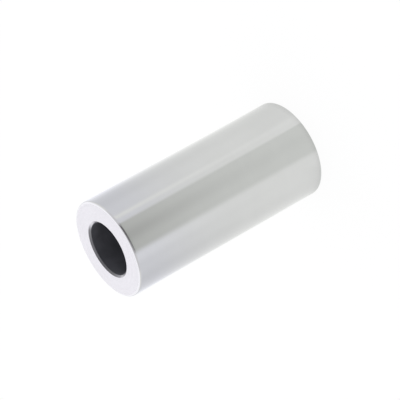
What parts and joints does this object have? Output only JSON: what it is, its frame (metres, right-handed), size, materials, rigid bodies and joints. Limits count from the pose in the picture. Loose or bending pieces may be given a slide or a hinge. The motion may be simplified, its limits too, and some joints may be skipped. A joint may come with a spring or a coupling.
{
  "type": "gudgeon pin",
  "caption": "Hollow ground steel pin with a straight through bore and rounded ends, which joins a piston to its connecting rod.",
  "frame": {"origin": "centre of the lower end face, on the pin's axis", "axes": "+Z along the pin's axis, from the lower end to the upper end; X and Y are alike"},
  "size_m": [0.036, 0.036, 0.0805],
  "materials": {
    "ground_steel": "ground and superfinished outside, faced at the ends, dark heat-treatment skin in the bore"
  },
  "bodies": {
    "root": {"gudgeon_pin": "ground_steel"}
  },
  "joints": []
}
